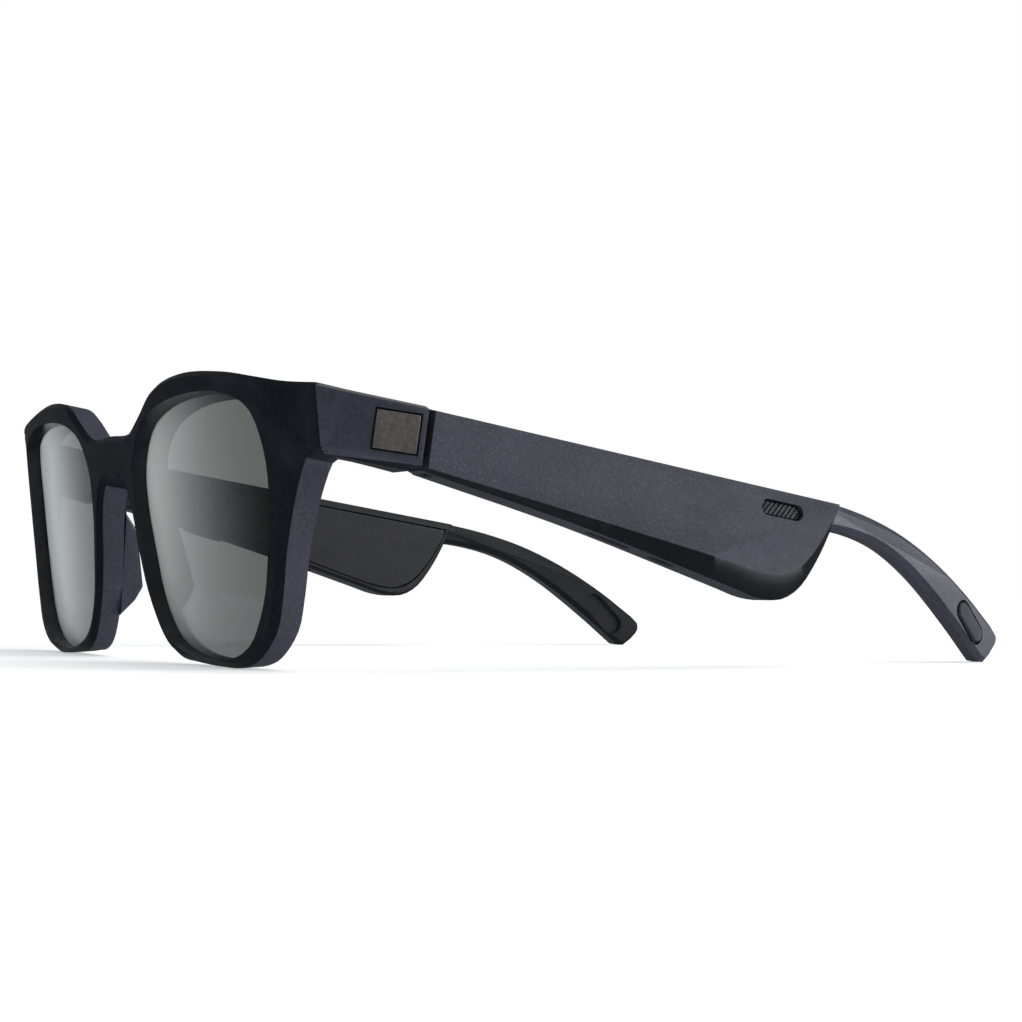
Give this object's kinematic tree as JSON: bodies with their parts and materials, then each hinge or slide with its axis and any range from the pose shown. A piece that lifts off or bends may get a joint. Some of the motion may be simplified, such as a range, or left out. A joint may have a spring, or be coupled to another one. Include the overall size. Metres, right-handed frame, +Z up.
{
  "type": "audio sunglasses",
  "caption": "Sunglasses with a wrapped square-eyed front, wide folding temples that hold small speakers, slim ear hooks and a press button under one temple.",
  "frame": {"origin": "under the middle of the bounding box, on the surface the glasses stand on", "axes": "+X to the wearer's left, +Y backwards from the front to the temple tips, +Z up from the table"},
  "size_m": [0.1444, 0.1614, 0.0482],
  "materials": {
    "front_frame": "gloss black moulding",
    "lens": "grey-green sun lens",
    "endpiece_inlay": "blank brown-grey plaque",
    "hinge_leaf": "plain steel",
    "small_screw": "plain steel",
    "temple_housing": "satin dark slate",
    "temple_inner_cover": "satin near-black",
    "battery": "foil pouch",
    "circuit_board": "green solder mask",
    "speaker_driver": "black",
    "speaker_gasket": "soft foam rubber",
    "port_mesh": "blackened mesh",
    "tip_badge": "blank raised plaque",
    "control_button": "semi-gloss black",
    "button_switch": "plain steel",
    "charging_block": "satin near-black",
    "charging_contact": "dark nickel contact",
    "status_light_pin": "smoked light pin"
  },
  "bodies": {
    "front": {"front_frame": "front_frame", "lens_left": "lens", "endpiece_inlay_left": "endpiece_inlay", "hinge_front_leaf_left": "hinge_leaf", "hinge_screw_left": "small_screw", "front_leaf_screw_left": "small_screw", "lens_right": "lens", "endpiece_inlay_right": "endpiece_inlay", "hinge_front_leaf_right": "hinge_leaf", "hinge_screw_right": "small_screw", "front_leaf_screw_right": "small_screw"},
    "temple_left": {"hinge_temple_leaf_left": "hinge_leaf", "temple_leaf_screw_left": "small_screw", "temple_housing_left": "temple_housing", "temple_inner_cover_left": "temple_inner_cover", "battery_left": "battery", "circuit_board_left": "circuit_board", "speaker_driver_left": "speaker_driver", "speaker_gasket_left": "speaker_gasket", "rear_port_mesh_left": "port_mesh", "sound_port_mesh_left": "port_mesh", "vent_port_mesh_left": "port_mesh", "tip_badge_left": "tip_badge"},
    "temple_right": {"hinge_temple_leaf_right": "hinge_leaf", "temple_leaf_screw_right": "small_screw", "temple_housing_right": "temple_housing", "temple_inner_cover_right": "temple_inner_cover", "battery_right": "battery", "circuit_board_right": "circuit_board", "speaker_driver_right": "speaker_driver", "speaker_gasket_right": "speaker_gasket", "rear_port_mesh_right": "port_mesh", "sound_port_mesh_right": "port_mesh", "vent_port_mesh_right": "port_mesh", "tip_badge_right": "tip_badge", "button_switch_right": "button_switch", "charging_block_right": "charging_block", "charging_contact_front_right": "charging_contact", "charging_contact_rear_right": "charging_contact", "status_light_pin_right": "status_light_pin"},
    "button": {"control_button_right": "control_button"}
  },
  "joints": [
    {"name": "temple_left_hinge", "type": "hinge", "parent": "front", "child": "temple_left", "pos_m": [0.064, -0.05584, 0.03593], "axis": [0, 0.086, 0.9963], "range_deg": [0, 90]},
    {"name": "temple_right_hinge", "type": "hinge", "parent": "front", "child": "temple_right", "pos_m": [-0.064, -0.05584, 0.03593], "axis": [0, -0.086, -0.9963], "range_deg": [0, 77]},
    {"name": "button_press", "type": "slide", "parent": "temple_right", "child": "button", "axis": [0, 0.2495, 0.9684], "range_m": [0, 0.0004], "stiffness_N_per_m": 300, "springref_m": -0.001}
  ]
}
